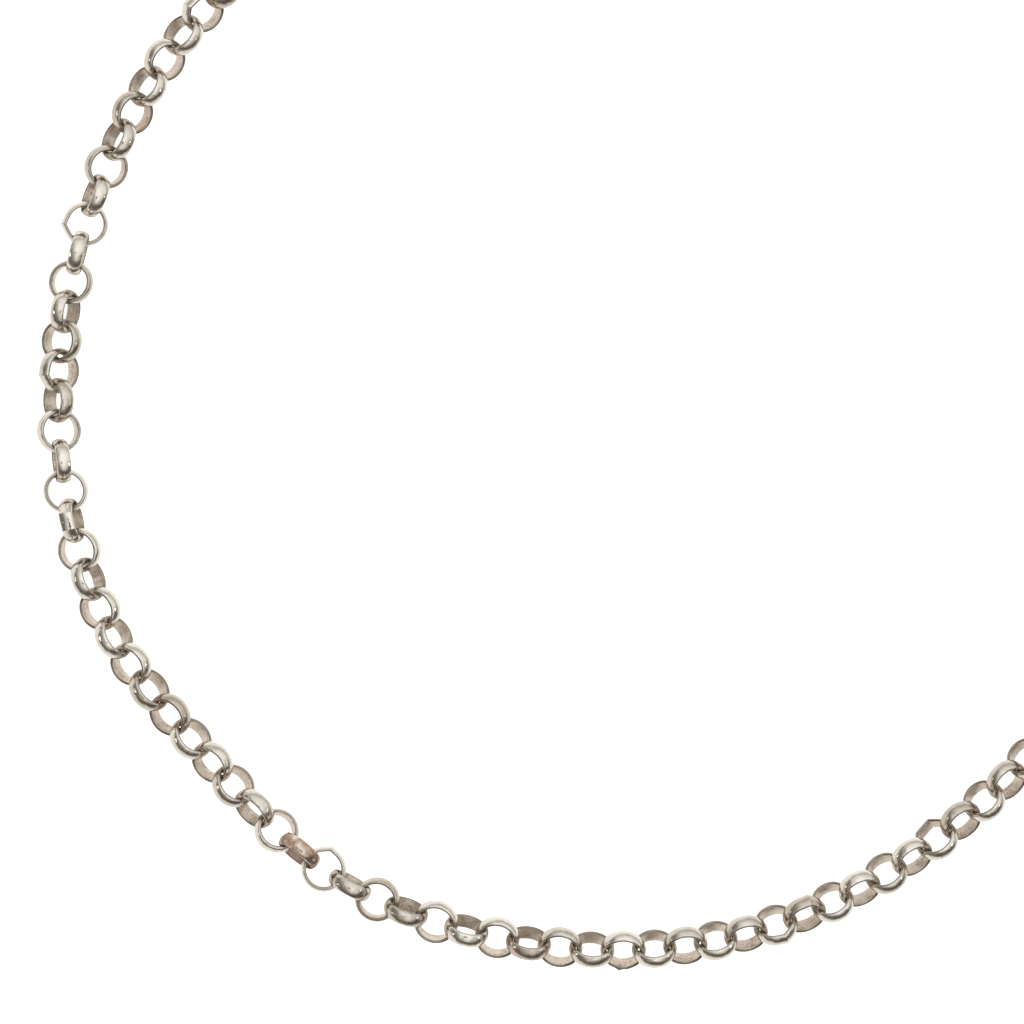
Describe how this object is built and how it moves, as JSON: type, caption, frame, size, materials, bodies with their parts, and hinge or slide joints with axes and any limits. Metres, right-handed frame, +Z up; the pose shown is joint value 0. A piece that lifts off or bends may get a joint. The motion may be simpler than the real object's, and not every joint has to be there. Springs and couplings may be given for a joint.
{
  "type": "rolo chain necklace",
  "caption": "Closed necklace chain of round links bent from half-round silver strip, fastened by a plain ring clasp and lying flat in a loop.",
  "frame": {"origin": "on the surface that the chain lies on, below the centre of its bounding box", "axes": "+Z up from the surface, +X to the right and +Y away as the lying loop is seen from above, the clasp at the upper right"},
  "size_m": [0.1516, 0.1522, 0.0057],
  "materials": {
    "chain": "polished silver with light wear, satin inside and lightly tarnished where links cross",
    "clasp": "polished silver with light wear"
  },
  "bodies": {
    "root": {"chain_left": "chain", "chain_right": "chain", "clasp": "clasp"}
  },
  "joints": []
}
